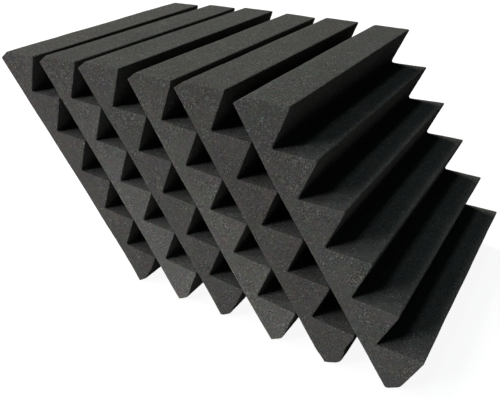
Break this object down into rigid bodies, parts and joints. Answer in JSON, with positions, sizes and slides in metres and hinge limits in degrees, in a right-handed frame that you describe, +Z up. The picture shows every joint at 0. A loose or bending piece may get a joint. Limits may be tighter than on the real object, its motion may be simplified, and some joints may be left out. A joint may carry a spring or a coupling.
{
  "type": "acoustic foam panel set",
  "caption": "Square wedge-profile sound absorbing foam panels, stood in a leaning row on a floor.",
  "frame": {"origin": "on the floor, under the middle of the row's bounding box", "axes": "+Z up, +X along the row towards the side that the wedges face, +Y along the wedges"},
  "size_m": [0.4986, 0.3, 0.2587],
  "materials": {
    "charcoal_foam": "matte"
  },
  "bodies": {
    "root": {"wedge_panel_1": "charcoal_foam", "wedge_panel_2": "charcoal_foam", "wedge_panel_3": "charcoal_foam", "wedge_panel_4": "charcoal_foam", "wedge_panel_5": "charcoal_foam", "wedge_panel_6": "charcoal_foam"}
  },
  "joints": []
}
